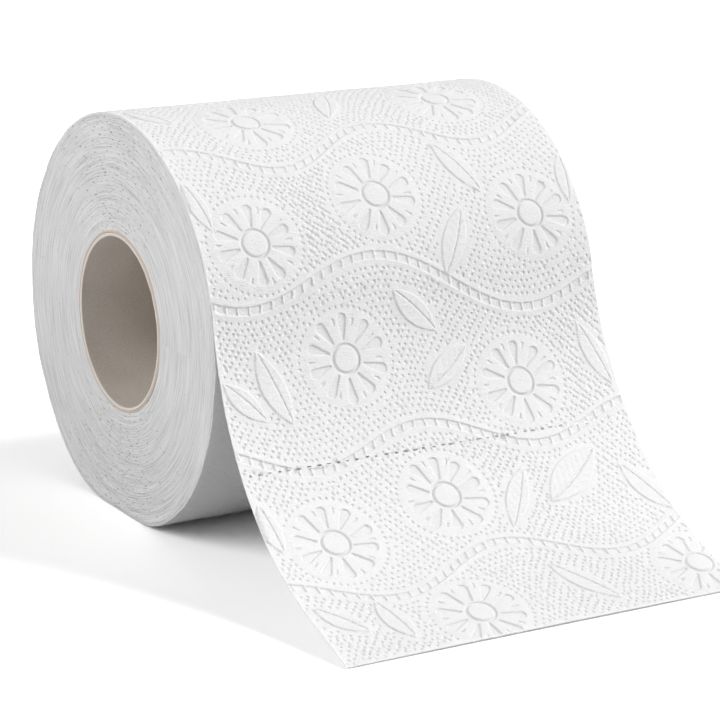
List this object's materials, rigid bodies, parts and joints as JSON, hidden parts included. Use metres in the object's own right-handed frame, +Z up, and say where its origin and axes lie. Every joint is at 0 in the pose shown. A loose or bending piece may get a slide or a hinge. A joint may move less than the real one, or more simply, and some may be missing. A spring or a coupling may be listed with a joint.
{
  "type": "toilet paper roll",
  "caption": "Soft roll of embossed perforated tissue wound on a card tube, lying on its side with the loose end of the web led down to the floor.",
  "frame": {"origin": "middle of the core's bore, halfway along the roll", "axes": "+X along the core, +Z up from the flat spot, -Y towards the loose end"},
  "size_m": [0.1044, 0.1618, 0.0944],
  "materials": {
    "card": "plain grey-brown recycled card, matt",
    "tissue": "soft white embossed tissue, matt"
  },
  "bodies": {
    "root": {"core": "card", "paper": "tissue"}
  },
  "joints": []
}
